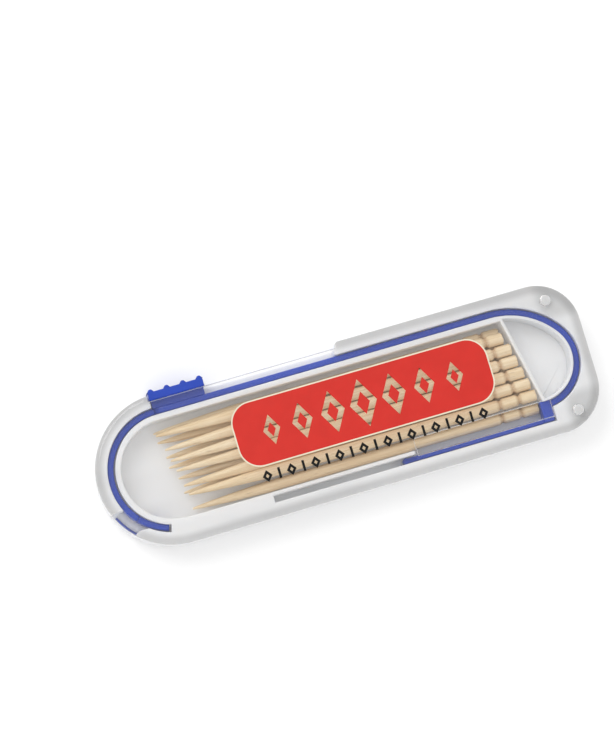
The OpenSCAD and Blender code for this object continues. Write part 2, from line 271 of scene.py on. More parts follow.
def surface_object(name, grid, attributes=None):
    """A closed tube from a grid of rings, shape (rings, points, 3): four-cornered faces join each
    ring to the next one, and a flat face shuts each end. Where its volume, the sum over the faces
    of a corner times the cross product of the diagonals, is negative, the faces are turned."""
    rings, around = grid.shape[:2]
    index = np.arange(rings * around).reshape(rings, around)
    right = np.roll(index, -1, 1)
    quads = np.stack([index[:-1], right[:-1], right[1:], index[1:]], -1).reshape(-1, 4)
    points = grid.reshape(-1, 3)
    a, b, c, d = (points[quads[:, k]] for k in range(4))
    middle = points.mean(0)
    volume = np.einsum("ij,ij->", a - middle, np.cross(c - a, d - b))
    faces = quads.tolist() + [index[0, ::-1].tolist(), index[-1].tolist()]
    if volume < 0:
        faces = [face[::-1] for face in faces]
    mesh = bpy.data.meshes.new(name)
    mesh.from_pydata(points.tolist(), [], faces)
    mesh.polygons.foreach_set("use_smooth", [True] * (len(faces) - 2) + [False] * 2)
    for key, values in (attributes or {}).items():
        layer = mesh.attributes.new(key, "FLOAT", "POINT")
        layer.data.foreach_set("value", values.astype(np.float32).ravel())
    mesh.update()
    obj = bpy.data.objects.new(name, mesh)
    bpy.context.scene.collection.objects.link(obj)
    return obj


def break_edges(obj, width, drawn_in=0.0):
    """Rounds an object's hard edges by live modifiers, which leave its own mesh as it is, and
    draws its whole surface in by a hair where `drawn_in` says so."""
    same_point, flat_angle, hard_angle = 0.001 * MM, math.radians(1), math.radians(35)
    weld = obj.modifiers.new("join_faces", "WELD")
    weld.merge_threshold = same_point
    flat = obj.modifiers.new("whole_faces", "DECIMATE")
    flat.decimate_type = "DISSOLVE"
    flat.angle_limit = flat_angle
    edge = obj.modifiers.new("round_edges", "BEVEL")
    edge.width = width
    edge.segments = 2
    edge.limit_method = "ANGLE"
    edge.angle_limit = hard_angle
    edge.use_clamp_overlap = False
    edge.harden_normals = True
    if drawn_in:
        hair = obj.modifiers.new("draw_in", "DISPLACE")
        hair.mid_level = 0
        hair.strength = -drawn_in
    obj.modifiers.new("even_shading", "WEIGHTED_NORMAL").keep_sharp = True


def paint(obj, material):
    """Gives an object one material in every slot."""
    if not obj.data.materials:
        obj.data.materials.append(material)
    for slot in obj.material_slots:
        slot.material = material


# ---------------------------------------------------------------- shader tools
#
# The scales of noises are in waves per metre: one number, or three, along the case, across it
# and upwards.


def add(tree, kind, settings=None, **inputs):
    """Adds a node. Inputs are named with _ for a space, and take a value or another socket."""
    node = tree.nodes.new(kind)
    for key, value in (settings or {}).items():
        setattr(node, key, value)
    for key, value in inputs.items():
        socket = node.inputs[key.replace("_", " ")]
        if isinstance(value, bpy.types.NodeSocket):
            tree.links.new(value, socket)
        else:
            socket.default_value = value
    return node


def math_node(tree, operation, *values, clamp=False):
    """A Math node's output, from numbers or sockets."""
    node = tree.nodes.new("ShaderNodeMath")
    node.operation = operation
    node.use_clamp = clamp
    for socket, value in zip(node.inputs, values):
        if isinstance(value, bpy.types.NodeSocket):
            tree.links.new(value, socket)
        else:
            socket.default_value = value
    return node.outputs[0]


def mix_colours(tree, factor, first, second, blend="MIX"):
    """A colour Mix node's output. Factor and colours are values or sockets."""
    node = tree.nodes.new("ShaderNodeMix")
    node.data_type = "RGBA"
    node.blend_type = blend
    named = {s.identifier: s for s in node.inputs}
    given = {"Factor_Float": factor, "A_Color": first, "B_Color": second}
    for key, value in given.items():
        if isinstance(value, bpy.types.NodeSocket):
            tree.links.new(value, named[key])
        else:
            named[key].default_value = value
    return next(s for s in node.outputs if s.identifier == "Result_Color")


def ramp(tree, value, low, high, out_low=0.0, out_high=1.0):
    """A value's stretch from low to high, taken smoothly to out_low to out_high."""
    node = add(tree, "ShaderNodeMapRange", {"interpolation_type": "SMOOTHSTEP"},
               Value=value, From_Min=low, From_Max=high, To_Min=out_low, To_Max=out_high)
    return node.outputs["Result"]


def noise(tree, vector, scale=1.0, detail=2.0, roughness=0.5, distortion=0.0):
    """A Noise Texture's value on a vector."""
    node = add(tree, "ShaderNodeTexNoise", Vector=vector, Scale=scale, Detail=detail,
               Roughness=roughness, Distortion=distortion)
    return node.outputs[0]


def stretched_noise(tree, vector, scale, turn=(0, 0, 0), place=(0, 0, 0), **settings):
    """A Noise Texture's value on a vector that a Mapping node scales per axis, turns and moves."""
    node = add(tree, "ShaderNodeMapping", Vector=vector, Location=place, Rotation=turn,
               Scale=scale)
    return noise(tree, node.outputs["Vector"], **settings)


def shared_group(name, inputs, outputs):
    """A node group with named sockets. Inputs are (name, kind, default), outputs (name, kind)."""
    tree = bpy.data.node_groups.new(name, "ShaderNodeTree")
    for label, kind, default in inputs:
        socket = tree.interface.new_socket(name=label, in_out="INPUT", socket_type=kind)
        if default is not None:
            socket.default_value = default
    for label, kind in outputs:
        tree.interface.new_socket(name=label, in_out="OUTPUT", socket_type=kind)
    return tree, tree.nodes.new("NodeGroupInput"), tree.nodes.new("NodeGroupOutput")


def hairlines(tree, where, turn, seed):
    """A mask of thin scratches in one direction: a noise that is stretched into lines, on
    coordinates that a wide noise bends a little."""
    bend = 3 * MM
    bent = stretched_noise(tree, where, (60, 60, 60), place=(seed, 0, 0), detail=1)
    shift = add(tree, "ShaderNodeVectorMath", {"operation": "SCALE"}, Scale=bend)
    tree.links.new(bent, shift.inputs[0])
    moved = add(tree, "ShaderNodeVectorMath", {"operation": "ADD"})
    tree.links.new(where, moved.inputs[0])
    tree.links.new(shift.outputs[0], moved.inputs[1])
    streak = stretched_noise(tree, moved.outputs[0], (90, 5200, 90), turn=(0, 0, turn),
                             place=(seed, seed, 0), detail=1)
    return ramp(tree, streak, 0.735, 0.76)


def moulded_skin():
    """Group: what injection moulding leaves on plastic. Tone is the faint cloud of the melt's
    flow, Ripple the fine unevenness of the skin, and Scratches a mask of hairlines in three
    directions, where a wide noise says that the skin is worn."""
    found = bpy.data.node_groups.get("moulded_skin")
    if found:
        return found
    tree, given, result = shared_group(
        "moulded_skin",
        [("Coordinates", "NodeSocketVector", None),
         ("Ripple Scale", "NodeSocketFloat", 900.0),
         ("Scratch Density", "NodeSocketFloat", 0.5)],
        [("Tone", "NodeSocketFloat"), ("Ripple", "NodeSocketFloat"),
         ("Scratches", "NodeSocketFloat")])
    where = given.outputs["Coordinates"]
    cloud = stretched_noise(tree, where, (45, 110, 110), detail=4, roughness=0.55,
                            distortion=0.6)
    tone = ramp(tree, cloud, 0.3, 0.7)
    ripple = noise(tree, where, given.outputs["Ripple Scale"])
    lines = [hairlines(tree, where, turn, seed)
             for turn, seed in ((0.5, 3.1), (-0.9, 7.7), (1.35, 12.3))]
    mask = math_node(tree, "MAXIMUM", lines[0], math_node(tree, "MAXIMUM", lines[1], lines[2]))
    worn = ramp(tree, noise(tree, where, 120, detail=3), 0.45, 0.65)
    scratches = math_node(tree, "MULTIPLY", mask, math_node(
        tree, "MULTIPLY", worn, given.outputs["Scratch Density"]), clamp=True)
    tree.links.new(tone, result.inputs["Tone"])
    tree.links.new(ripple, result.inputs["Ripple"])
    tree.links.new(scratches, result.inputs["Scratches"])
    return tree


def new_material(name):
    """An empty node material with its output and a Principled shader on it."""
    material = bpy.data.materials.new(name)
    material.use_nodes = True
    tree = material.node_tree
    tree.nodes.clear()
    output = tree.nodes.new("ShaderNodeOutputMaterial")
    shader = tree.nodes.new("ShaderNodeBsdfPrincipled")
    tree.links.new(shader.outputs[0], output.inputs["Surface"])
    return material, tree, shader, output


def object_coordinates(tree):
    """Object coordinates, in metres in the shared frame."""
    return tree.nodes.new("ShaderNodeTexCoord").outputs["Object"]


def skin_in(tree, where, ripple_scale, density):
    """Places the moulded_skin group in a material."""
    node = tree.nodes.new("ShaderNodeGroup")
    node.node_tree = moulded_skin()
    tree.links.new(where, node.inputs["Coordinates"])
    node.inputs["Ripple Scale"].default_value = ripple_scale
    node.inputs["Scratch Density"].default_value = density
    return node.outputs


def bump(tree, height, strength, distance):
    """A Bump node's normal. Distance is in metres."""
    node = add(tree, "ShaderNodeBump", Strength=strength, Distance=distance, Height=height)
    return node.outputs["Normal"]


def moulded_plastic(name, colour, shade, rough, ripple_scale, density, subsurface):
    """Opaque moulded plastic: its tone drifts by a faint cloud between the colour and the
    colour times `shade`, and hairlines roughen it. Light spreads a little below its skin."""
    material, tree, shader, _ = new_material(name)
    where = object_coordinates(tree)
    skin = skin_in(tree, where, ripple_scale, density)
    pale = to_linear(colour)
    deep = to_linear([c * shade for c in colour])
    tree.links.new(mix_colours(tree, skin["Tone"], deep, pale), shader.inputs["Base Color"])
    base_rough = ramp(tree, skin["Tone"], 0, 1, rough, rough + 0.06)
    roughness = math_node(tree, "ADD", base_rough, math_node(
        tree, "MULTIPLY", skin["Scratches"], 0.3), clamp=True)
    tree.links.new(roughness, shader.inputs["Roughness"])
    height = math_node(tree, "SUBTRACT", skin["Ripple"], skin["Scratches"])
    tree.links.new(bump(tree, height, strength=0.25, distance=0.02 * MM), shader.inputs["Normal"])
    shader.inputs["IOR"].default_value = 1.5
    shader.inputs["Subsurface Weight"].default_value = subsurface
    shader.inputs["Subsurface Radius"].default_value = (1.0, 0.95, 0.9)
    shader.inputs["Subsurface Scale"].default_value = 1.5 * MM
    return material


def depth_inside(tree, where):
    """How far a point lies inside the case's outline, in metres: the least of the depth in the
    round end's circle, stretched along the case, and the depth in the square end's corner
    circles, stretched along and across it. The second value is a mask of those two corners."""
    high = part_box("base_tray")[1]
    fade_from, fade_to = 0.3 * MM, 2.6 * MM
    part = add(tree, "ShaderNodeSeparateXYZ", Vector=where).outputs
    across = math_node(tree, "ABSOLUTE", part["Y"])
    past_round = math_node(tree, "MAXIMUM", math_node(
        tree, "SUBTRACT", ROUND_END.x, part["X"]), 0.0)
    past_square = math_node(tree, "MAXIMUM", math_node(
        tree, "SUBTRACT", part["X"], high.x - CORNER), 0.0)
    past_side = math_node(tree, "MAXIMUM", math_node(
        tree, "SUBTRACT", across, high.y - CORNER), 0.0)
    depths = []
    for radius, along, beside in ((high.y, past_round, across), (CORNER, past_square, past_side)):
        squares = [math_node(tree, "MULTIPLY", side, side) for side in (along, beside)]
        away = math_node(tree, "SQRT", math_node(tree, "ADD", *squares))
        depths.append(math_node(tree, "SUBTRACT", radius, away))
    both = math_node(tree, "MINIMUM", past_square, past_side)
    return math_node(tree, "MINIMUM", *depths), ramp(tree, both, fade_from, fade_to)


def tray_plastic(name, colours):
    """White moulded plastic. The walls' tops are cloudy, with painted shade that greys them
    towards the case's outline and dulls them in the square end's corners. The floor and the walls
    below carry painted light: an even glow that stands in for light let through the thin plastic,
    and ends just under the rim."""
    glow_end, rim_start = RIM_Z - 0.9 * MM, RIM_Z - 0.1 * MM
    outer_edge, inner_edge = 0.5 * MM, 2.1 * MM
    cloudy, clean, corner_shade = (to_linear((grey, grey, grey)) for grey in (0.97, 1.0, 0.9))
    material = moulded_plastic(name, colours.tray, shade=0.965, rough=0.32, ripple_scale=1500,
                               density=0.5, subsurface=1.0)
    tree = material.node_tree
    shader = next(node for node in tree.nodes if node.type == "BSDF_PRINCIPLED")
    pale = shader.inputs["Base Color"].links[0].from_socket
    where = object_coordinates(tree)
    height = add(tree, "ShaderNodeSeparateXYZ", Vector=where).outputs["Z"]
    # Share of the rim: below it the plastic carries the painted glow, on it the painted shade
    # towards the outline.
    high = ramp(tree, height, glow_end, rim_start)
    cloud = stretched_noise(tree, where, (40, 130, 130), detail=3, distortion=0.4)
    depth, corners = depth_inside(tree, where)
    # Painted shade: the rim darkens from its inner colour to its outer one towards the case's
    # outline.
    inwards = ramp(tree, depth, outer_edge, inner_edge)
    rim_painted_shade = mix_colours(tree, inwards, to_linear(colours.rim_outer_shaded),
                         to_linear(colours.rim_inner))
    patches = mix_colours(tree, ramp(tree, cloud, 0.35, 0.62), cloudy, clean)
    # Painted shade: the square end's corners are darkened; the cloud patches elsewhere are random
    # tone.
    rim = mix_colours(tree, 1.0, rim_painted_shade, mix_colours(tree, corners, patches, corner_shade), "MULTIPLY")
    tree.links.new(mix_colours(tree, high, pale, rim), shader.inputs["Base Color"])
    # Painted light: an emitted glow on the floor and lower walls, none on the rim.
    tree.links.new(mix_colours(tree, high, (1, 1, 1, 1), (0, 0, 0, 1)),
                   shader.inputs["Emission Color"])
    shader.inputs["Emission Strength"].default_value = colours.tray_painted_glow
    return material


def open_to_light(tree, shader, output, tint):
    """Lets light through a material in a tint: the lamps' light and the light of the
    surroundings that a matt surface behind it gathers, so that it casts only a faint shadow,
    and light that has gone to and fro inside it, which would end as black."""
    deepest = 3.5
    path = tree.nodes.new("ShaderNodeLightPath")
    trapped = math_node(tree, "GREATER_THAN", path.outputs["Ray Depth"], deepest)
    gathered = math_node(tree, "MAXIMUM", trapped, math_node(
        tree, "MAXIMUM", path.outputs["Is Shadow Ray"], path.outputs["Is Diffuse Ray"]))
    window = add(tree, "ShaderNodeBsdfTransparent", Color=to_linear(tint))
    mixed = tree.nodes.new("ShaderNodeMixShader")
    tree.links.new(gathered, mixed.inputs[0])
    tree.links.new(shader.outputs[0], mixed.inputs[1])
    tree.links.new(window.outputs[0], mixed.inputs[2])
    tree.links.new(mixed.outputs[0], output.inputs["Surface"])


def clear_plastic(name, colour):
    """Clear moulded plastic: glass-like, with hairlines that catch light, with painted shade that
    greys its outer face where it is seen edge on, and open to light."""
    edge_shade, let_through = 0.55, (0.97, 0.97, 0.97)
    material, tree, shader, output = new_material(name)
    where = object_coordinates(tree)
    skin = skin_in(tree, where, ripple_scale=500, density=0.8)
    # Painted shade: a grey line where the outer face is seen edge on, as at the cover's rounded
    # outline.
    edge_on = add(tree, "ShaderNodeLayerWeight", Blend=0.5).outputs["Facing"]
    outside = math_node(tree, "SUBTRACT", 1.0,
                        tree.nodes.new("ShaderNodeNewGeometry").outputs["Backfacing"])
    edge_on_painted_shade = math_node(tree, "MULTIPLY", ramp(tree, edge_on, 0.45, 0.95), outside)
    tree.links.new(mix_colours(tree, edge_on_painted_shade, to_linear(colour),
                               to_linear([c * edge_shade for c in colour])),
                   shader.inputs["Base Color"])
    shader.inputs["Transmission Weight"].default_value = 1.0
    shader.inputs["IOR"].default_value = 1.46
    roughness = math_node(tree, "ADD", ramp(tree, skin["Tone"], 0, 1, 0.015, 0.04), math_node(
        tree, "MULTIPLY", skin["Scratches"], 0.22), clamp=True)
    tree.links.new(roughness, shader.inputs["Roughness"])
    height = math_node(tree, "SUBTRACT", skin["Ripple"], skin["Scratches"])
    tree.links.new(bump(tree, height, strength=0.12, distance=0.01 * MM), shader.inputs["Normal"])
    open_to_light(tree, shader, output, let_through)
    return material


def ink(name, colour, rough, cover, gloss=0.5):
    """Screen-printed ink: a slightly uneven film with a fine mesh texture. It covers what lies
    below by the share `cover`, and lets part of the light through."""
    let_through = (0.92, 0.88, 0.86)
    material, tree, shader, output = new_material(name)
    shader.inputs["Alpha"].default_value = cover
    shader.inputs["Specular IOR Level"].default_value = gloss
    where = object_coordinates(tree)
    cloud = noise(tree, where, 260, detail=5, roughness=0.6)
    thin = to_linear([min(1, c * 1.02 + 0.005) for c in colour])
    full = to_linear(colour)
    tree.links.new(mix_colours(tree, ramp(tree, cloud, 0.35, 0.65), full, thin),
                   shader.inputs["Base Color"])
    mesh = noise(tree, where, 4200)
    tree.links.new(ramp(tree, cloud, 0.3, 0.7, rough, rough + 0.1), shader.inputs["Roughness"])
    tree.links.new(bump(tree, mesh, strength=0.2, distance=0.01 * MM), shader.inputs["Normal"])
    open_to_light(tree, shader, output, let_through)
    return material


def birch(name, light, dark):
    """Turned birch: long fibres and growth lines along the pick, pores as short brown dashes,
    grooves darkened as painted shade, and end grain on the blunt face. A wide noise sets one pick
    a little apart from the next."""
    pore_brown, groove_shade = to_linear((0.62, 0.47, 0.33)), to_linear((0.66, 0.5, 0.34))
    end_dark, end_light = to_linear((0.8, 0.68, 0.5)), to_linear((0.92, 0.83, 0.68))
    material, tree, shader, _ = new_material(name)
    where = object_coordinates(tree)
    fibre = stretched_noise(tree, where, (110, 3600, 3600), detail=5, roughness=0.6,
                            distortion=0.2)
    growth = stretched_noise(tree, where, (14, 900, 900), distortion=0.8)
    stick = stretched_noise(tree, where, (4, 330, 330), detail=1)
    pale = to_linear(light)
    brown = to_linear(dark)
    streaks = mix_colours(tree, ramp(tree, fibre, 0.3, 0.72), pale, brown)
    lined = mix_colours(tree, ramp(tree, growth, 0.5, 0.78, 0, 0.55), streaks, brown)
    sorts = mix_colours(tree, ramp(tree, stick, 0.3, 0.7, 0, 0.35), lined,
                        to_linear([c * 0.93 for c in light]), "MULTIPLY")
    pore = stretched_noise(tree, where, (420, 6500, 6500), place=(3, 1, 2), detail=1)
    pores = ramp(tree, pore, 0.7, 0.78, 0, 0.5)
    marked = mix_colours(tree, pores, sorts, pore_brown)
    # Painted shade: the turned grooves are darkened, by the pick's groove attribute.
    cut = add(tree, "ShaderNodeAttribute", {"attribute_name": "groove"}).outputs["Fac"]
    turned = mix_colours(tree, math_node(tree, "MULTIPLY", cut, 0.55), marked, groove_shade,
                         "MULTIPLY")
    end = add(tree, "ShaderNodeAttribute", {"attribute_name": "end_grain"}).outputs["Fac"]
    rings = noise(tree, where, 2600, detail=4, roughness=0.7)
    grain_end = mix_colours(tree, ramp(tree, rings, 0.35, 0.65), end_dark, end_light)
    tree.links.new(mix_colours(tree, end, turned, grain_end), shader.inputs["Base Color"])
    tree.links.new(ramp(tree, fibre, 0.3, 0.7, 0.58, 0.74), shader.inputs["Roughness"])
    height = math_node(tree, "SUBTRACT", fibre, pores)
    tree.links.new(bump(tree, height, strength=0.5, distance=0.03 * MM), shader.inputs["Normal"])
    shader.inputs["Specular IOR Level"].default_value = 0.35
    return material


def finish(slot_name):
    """The finish for a material slot of the record, made when it is first asked for."""
    name = slot_name + "_finish"
    found = bpy.data.materials.get(name)
    if found:
        return found
    colours = bpy.context.scene.dispenser_colours
    makers = {
        "white_plastic": lambda: tray_plastic(name, colours),
        "clear_plastic": lambda: clear_plastic(name, colours.cover),
        "blue_plastic": lambda: moulded_plastic(name, colours.strip, shade=0.93, rough=0.3,
                                                ripple_scale=1800, density=0.7, subsurface=0.08),
        "red_ink": lambda: ink(name, colours.panel, rough=0.38, cover=0.93),
        "cream_ink": lambda: ink(name, colours.border, rough=0.42, cover=0.97),
        "black_ink": lambda: ink(name, colours.marks, rough=0.5, cover=1.0, gloss=0.2),
        "birch": lambda: birch(name, colours.wood_light, colours.wood_dark),
    }
    return makers[slot_name]()


# ---------------------------------------------------------------- pieces


class DISPENSER_OT_dress_tray(bpy.types.Operator):
    """Finishes the white tray"""

    bl_idname = "dispenser.dress_tray"
    bl_label = "Tray"

    def execute(self, context):
        tray = frame["nodes"]["base_tray"]
        break_edges(tray, context.scene.dispenser_sizes.tray_edge)
        paint(tray, finish("white_plastic"))
        return {"FINISHED"}


class DISPENSER_OT_dress_cover(bpy.types.Operator):
    """Finishes the clear cover"""

    bl_idname = "dispenser.dress_cover"
    bl_label = "Cover"

    def execute(self, context):
        sizes = context.scene.dispenser_sizes
        cover = frame["nodes"]["clear_cover"]
        break_edges(cover, sizes.cover_edge, sizes.cover_air)
        paint(cover, finish("clear_plastic"))
        return {"FINISHED"}


class DISPENSER_OT_dress_print(bpy.types.Operator):
    """Inks the panel, its border and the row of marks"""

    bl_idname = "dispenser.dress_print"
    bl_label = "Print"

    def execute(self, context):
        inks = {"printed_panel": "red_ink", "panel_border": "cream_ink", "mark_row": "black_ink"}
        for node, slot in inks.items():
            paint(frame["nodes"][node], finish(slot))
        return {"FINISHED"}


def strip_stretch(name, points, outward, width, height, z, edge):
    """A stretch of the strip: a rectangle with round corners, carried along level points."""
    grid = carried_section(points, outward, rounded_section(width, height, edge), z)
    piece = surface_object(name, grid)
    piece.modifiers.new("even_shading", "WEIGHTED_NORMAL")
    paint(piece, finish("blue_plastic"))
    return piece


def track(sizes):
    """The strip's track, read from the frame: its middle line's distance from the round end's
    centre, the centres of the two bends at the square end, the angles in degrees at which they
    meet and at which the tight one stops at the pusher, and the strip's middle and height."""
    low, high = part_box("strip_run")
    half = sizes.strip_width / 2
    line = high.y - half
    apart = sizes.wide_bend - sizes.tight_bend
    tight_x = high.x - half - sizes.tight_bend
    wide = np.array([tight_x - BENDS_MEET[0] * apart, line - sizes.wide_bend])
    tight = np.array([tight_x, wide[1] + BENDS_MEET[1] * apart])
    join = math.degrees(math.atan2(BENDS_MEET[1], BENDS_MEET[0]))
    stop = -math.degrees(math.acos((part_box("pusher")[1].x - tight_x) / sizes.tight_bend))
    return {"line": line, "wide": wide, "tight": tight, "join": join, "stop": stop,
            "z": (low.z + high.z) / 2, "height": high.z - low.z}


class DISPENSER_OT_form_strip_run(bpy.types.Operator):
    """Forms the strip's stretch along the top and round the square end"""

    bl_idname = "dispenser.form_strip_run"
    bl_label = "Strip, long stretch"

    def execute(self, context):
        sizes = context.scene.dispenser_sizes
        way = track(sizes)
        straight_x = np.linspace(ROUND_END.x, way["wide"][0], 40)[:-1]
        straight = np.stack([straight_x, np.full_like(straight_x, way["line"])], 1)
        up = np.tile([0.0, 1.0], (len(straight_x), 1))
        wide, wide_out = arc(way["wide"], sizes.wide_bend, 90, way["join"], steps=40)
        tight, tight_out = arc(way["tight"], sizes.tight_bend, way["join"], way["stop"], steps=80)
        piece = strip_stretch(
            "flexible_strip_run", np.concatenate([straight, wide[:-1], tight]),
            np.concatenate([up, wide_out[:-1], tight_out]),
            sizes.strip_width + sizes.strip_swell, way["height"], way["z"], sizes.strip_edge)
        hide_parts("strip_run")
        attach(piece, "case")
        return {"FINISHED"}


def leant(points, outward, sizes):
    """Points of the round end's arc moved outwards, by the lean times the share of the outward
    direction that looks along the case, to the power 1.5, and moved inwards past the middle, by
    the tip's bend times the square of the share that looks across it."""
    past = np.clip(-outward[:, 1:], 0, 1)
    move = sizes.tail_lean * np.clip(-outward[:, :1], 0, 1) ** 1.5 - sizes.tip_bend * past ** 2
    return points + move * outward


class DISPENSER_OT_form_strip_tail(bpy.types.Operator):
    """Forms the strip's tail round the round end, and its stiff end that shuts the outlet"""

    bl_idname = "dispenser.form_strip_tail"
    bl_label = "Strip, tail and gate"

    def execute(self, context):
        sizes = context.scene.dispenser_sizes
        way = track(sizes)
        radius = way["line"]
        inner = radius - sizes.strip_width / 2
        gate_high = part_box("gate_tip")[1]
        gate_start = 180 + math.degrees(math.asin(-gate_high.y / inner))
        gate_end = 180 + math.degrees(math.acos((ROUND_END.x - gate_high.x) / inner))
        middle = (ROUND_END.x, 0.0)
        slim = 0.02 * MM        # keeps the tail's skin inside the gate's, which turns over it
        points, outward = arc(middle, radius, 90, gate_start, steps=120)
        tail = strip_stretch("flexible_strip_tail", leant(points, outward, sizes),
                             outward, sizes.strip_width + sizes.strip_swell - slim,
                             way["height"] - slim, way["z"], sizes.strip_edge)
        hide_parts("strip_tail")
        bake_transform(tail)
        points, outward = arc(middle, radius, gate_start, gate_end, steps=32)
        gate = strip_stretch("flexible_strip_gate", leant(points, outward, sizes),
                             outward, sizes.strip_width + sizes.strip_swell,
                             way["height"], way["z"], sizes.strip_edge)
        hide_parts("gate_tip")
        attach(gate, "gate")
        return {"FINISHED"}


class DISPENSER_OT_form_strip_feed(bpy.types.Operator):
    """Forms the stretch that follows the pusher, drawn together inside the foot at rest"""

    bl_idname = "dispenser.form_strip_feed"
    bl_label = "Strip, feed"

    def execute(self, context):
        sizes = context.scene.dispenser_sizes
        way = track(sizes)
        foot_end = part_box("pusher")[1].x
        first, last = foot_end - 0.1 * MM, foot_end - 1.1 * MM
        slim = 0.1 * MM         # keeps the stretch's skin inside the foot's and the strip's
        # The rings stand where a smoothstep weight of their place is even, so that they would be
        # spread evenly if each were drawn out by its weight times the stroke, and each would then
        # lie across where it is on the tight bend or in the channel.
        share = np.linspace(0, 1, 400)
        weight = share * share * (3 - 2 * share)
        even = np.linspace(0, 1, 60)
        place = np.interp(even, weight, share)
        x = first + (last - first) * place
        drawn_out = x - STROKE * even
        tight_x, tight_y = way["tight"]
        past_centre = np.maximum(drawn_out - tight_x, 0)
        y = tight_y - np.sqrt(sizes.tight_bend ** 2 - past_centre ** 2)
        outward = np.stack([past_centre, y - tight_y], 1) / sizes.tight_bend
        feed = strip_stretch(
            "flexible_strip_feed", np.stack([x, y], 1), outward, sizes.strip_width - slim,
            way["height"] - slim, way["z"], sizes.strip_edge)
        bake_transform(feed)
        return {"FINISHED"}


class DISPENSER_OT_dress_button(bpy.types.Operator):
    """Finishes the thumb button and the pusher"""

    bl_idname = "dispenser.dress_button"
    bl_label = "Thumb button and pusher"

    def execute(self, context):
        sizes = context.scene.dispenser_sizes
        for node, edge in (("thumb_button", sizes.button_edge), ("pusher", sizes.foot_edge)):
            obj = frame["nodes"][node]
            break_edges(obj, edge)
            paint(obj, finish("blue_plastic"))
        return {"FINISHED"}


def pick_profile(length, radius, sizes, chance):
    """A toothpick's outline: distances from the blunt end, and the radius there. The rim is a
    quarter circle, each groove a raised cosine to the power 0.7, and the point's radius goes
    with the distance that is left, to the power 0.64."""
    taper = sizes.pick_taper * chance.uniform(0.92, 1.08)
    rim_s = PICK_RIM * (1 - np.cos(np.linspace(0, math.pi / 2, 5)))
    head = np.linspace(PICK_RIM, PICK_HEAD, 60)[1:]
    body = np.linspace(PICK_HEAD, length - taper, 22)[1:]
    point = length - taper * (1 - np.linspace(0, 1, 30)[1:]) ** 1.5
    s = np.concatenate([[0.0], rim_s[1:], head, body, point])
    r = np.full_like(s, radius)
    for place in sizes.groove_places:
        centre = place + chance.uniform(-0.12, 0.12) * MM
        away = np.abs(s - centre) / (sizes.groove_width / 2)
        cut = (0.5 * (1 + np.cos(math.pi * np.minimum(away, 1)))) ** 0.7
        r -= sizes.groove_depth * cut * chance.uniform(0.85, 1.1)
    left = np.clip((length - s) / taper, 0, 1)
    r = np.where(s > length - taper, PICK_TIP + (r - PICK_TIP) * left ** 0.64, r)
    near = s < PICK_RIM
    r[near] -= PICK_RIM - np.sqrt(np.maximum(PICK_RIM ** 2 - (PICK_RIM - s[near]) ** 2, 0))
    r[-1] = 0.2 * PICK_TIP
    return s, r


def turned_pick(name, node, seed, sizes, stray_share):
    """A turned toothpick: its outline's radius times shallow lobes and facets round it. Its axis
    sways by half a sine and strays, to the cube of the distance, at the point. The blunt end is
    cut a little askew, and torn in five low waves."""
    low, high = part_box(node)
    chance = np.random.default_rng(seed)
    length = high.x - low.x
    radius = (high.y - low.y) / 2
    s, r = pick_profile(length, radius, sizes, chance)
    around = np.linspace(0, 2 * math.pi, 32, endpoint=False)
    lobe_depth, facet_depth = 0.01, 0.022       # shares of the radius
    facets = chance.integers(7, 10)
    twist = 2 * around[None, :] + 9 * s[:, None] / length + seed
    lobes = (1 - lobe_depth * (1 + np.sin(twist))
             - facet_depth * np.abs(np.sin(facets / 2 * around[None, :])))
    sway = sizes.pick_sway * np.sin(math.pi * s / length)
    bend = chance.uniform(0, 2 * math.pi)
    stray = stray_share * sizes.point_stray * (s / length) ** 3
    ring = r[:, None] * lobes
    y = (low.y + high.y) / 2 + ring * np.cos(around) + (sway * math.cos(bend) + stray)[:, None]
    z = (low.z + high.z) / 2 + ring * np.sin(around) + (sway * math.sin(bend))[:, None]
    tilt, high_side = chance.uniform(0, 0.1), chance.uniform(0, 2 * math.pi)
    tear, torn_length = 0.05 * MM, 1.2 * MM
    torn = tear * (1 + np.sin(5 * around + seed)) + tilt * radius * (
        1 + np.cos(around - high_side))
    set_back = torn[None, :] * np.clip(1 - s / torn_length, 0, 1)[:, None]
    x = (high.x - s)[:, None] - set_back
    # Where the finish paints shade into the grooves.
    groove = sum(np.clip(1 - np.abs(s - place) / (0.7 * sizes.groove_width), 0, 1)
                 for place in sizes.groove_places)
    end = np.zeros(y.shape)
    end[:1] = 1
    piece = surface_object(name, np.stack([x, y, z], 2), {
        "groove": np.broadcast_to(groove[:, None], y.shape), "end_grain": end})
    paint(piece, finish("birch"))
    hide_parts(node)
    return piece


class DISPENSER_OT_turn_picks(bpy.types.Operator):
    """Turns the toothpicks: the stored ones and the one in the channel"""

    bl_idname = "dispenser.turn_picks"
    bl_label = "Toothpicks"

    def execute(self, context):
        sizes = context.scene.dispenser_sizes
        for seed, node in enumerate(PICKS):
            name = node.replace("toothpick", "pick").replace("next_pick", "channel_pick")
            feeds = node == "next_toothpick"
            stray_share = 0 if feeds else math.sin(2.4 * seed)
            piece = turned_pick(name, node, seed + 1, sizes, stray_share)
            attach(piece, "dispensed_pick" if feeds else "case")
        return {"FINISHED"}


# ---------------------------------------------------------------- stage


